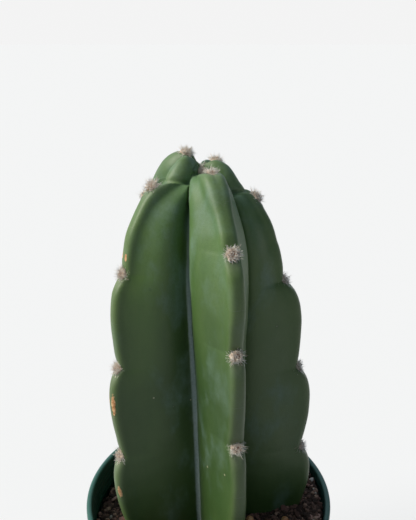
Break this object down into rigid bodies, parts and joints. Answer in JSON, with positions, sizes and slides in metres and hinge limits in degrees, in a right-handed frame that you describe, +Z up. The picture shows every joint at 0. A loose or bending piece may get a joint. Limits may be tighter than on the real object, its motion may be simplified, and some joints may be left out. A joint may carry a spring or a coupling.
{
  "type": "potted tall cactus",
  "caption": "Short columnar cactus with deep rounded ribs and woolly, short-spined areoles, standing in a round plastic nursery pot of gritty potting mix.",
  "frame": {"origin": "middle of the pot's foot, on the surface it stands on", "axes": "+Z up along the pot's axis; -Y is the front, where one rib turns a little to the right; +X is to the right"},
  "size_m": [0.1016, 0.1016, 0.235],
  "materials": {
    "pot_plastic": "satin moulded green plastic",
    "potting_mix": "damp, crumbly peat and bark",
    "cactus_skin": "waxy green skin with a pale bloom",
    "root_bark": "matt",
    "areole_wool": "felted cream wool with short pale spines",
    "prill_coat": "smooth resin coat",
    "perlite": "chalky, foamed",
    "bark_chip": "matt"
  },
  "bodies": {
    "root": {"pot": "pot_plastic", "potting_mix": "potting_mix", "stem": "cactus_skin", "roots": "root_bark", "areole_front_1": "areole_wool", "areole_front_2": "areole_wool", "areole_front_3": "areole_wool", "areole_front_4": "areole_wool", "areole_front_5": "areole_wool", "areole_right_1": "areole_wool", "areole_right_2": "areole_wool", "areole_right_3": "areole_wool", "areole_right_4": "areole_wool", "areole_back_right_1": "areole_wool", "areole_back_right_2": "areole_wool", "areole_back_right_3": "areole_wool", "areole_back_right_4": "areole_wool", "areole_back_right_5": "areole_wool", "areole_back_left_1": "areole_wool", "areole_back_left_2": "areole_wool", "areole_back_left_3": "areole_wool", "areole_back_left_4": "areole_wool", "areole_back_left_5": "areole_wool", "areole_left_1": "areole_wool", "areole_left_2": "areole_wool", "areole_left_3": "areole_wool", "areole_left_4": "areole_wool", "areole_left_5": "areole_wool", "fertiliser_prill_1": "prill_coat", "fertiliser_prill_2": "prill_coat", "fertiliser_prill_3": "prill_coat", "fertiliser_prill_4": "prill_coat", "fertiliser_prill_5": "prill_coat", "fertiliser_prill_6": "prill_coat", "fertiliser_prill_7": "prill_coat", "fertiliser_prill_8": "prill_coat", "perlite_grain_1": "perlite", "perlite_grain_2": "perlite", "perlite_grain_3": "perlite", "perlite_grain_4": "perlite", "perlite_grain_5": "perlite", "perlite_grain_6": "perlite", "bark_chip_1": "bark_chip", "bark_chip_2": "bark_chip", "bark_chip_3": "bark_chip", "bark_chip_4": "bark_chip", "bark_chip_5": "bark_chip", "bark_chip_6": "bark_chip", "bark_chip_7": "bark_chip", "bark_chip_8": "bark_chip"}
  },
  "joints": []
}
